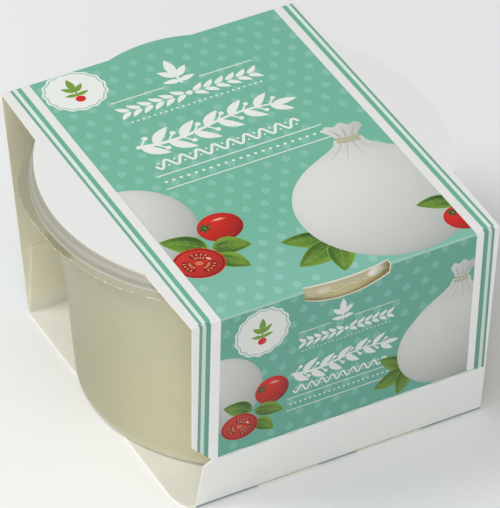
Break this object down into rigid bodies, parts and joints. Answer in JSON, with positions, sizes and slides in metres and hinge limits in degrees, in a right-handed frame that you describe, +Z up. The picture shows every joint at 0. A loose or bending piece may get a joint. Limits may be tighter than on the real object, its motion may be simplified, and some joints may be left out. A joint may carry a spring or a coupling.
{
  "type": "cheese tub in a printed card sleeve",
  "caption": "Shut round tapered tub of fresh cheese with a lid, held in a folded printed card sleeve that is open at both ends.",
  "frame": {"origin": "on the tub's axis at the surface the pack stands on, which is under the middle of its bounding box", "axes": "+Z up, -Y is the printed front with the tear line, +Y the back, the sleeve is open at +X and -X"},
  "size_m": [0.1023, 0.1051, 0.0618],
  "materials": {
    "printed_card": "satin",
    "lid_plastic": "satin",
    "tub_plastic": "satin"
  },
  "bodies": {
    "root": {"sleeve": "printed_card", "lid": "lid_plastic", "tub": "tub_plastic"}
  },
  "joints": []
}
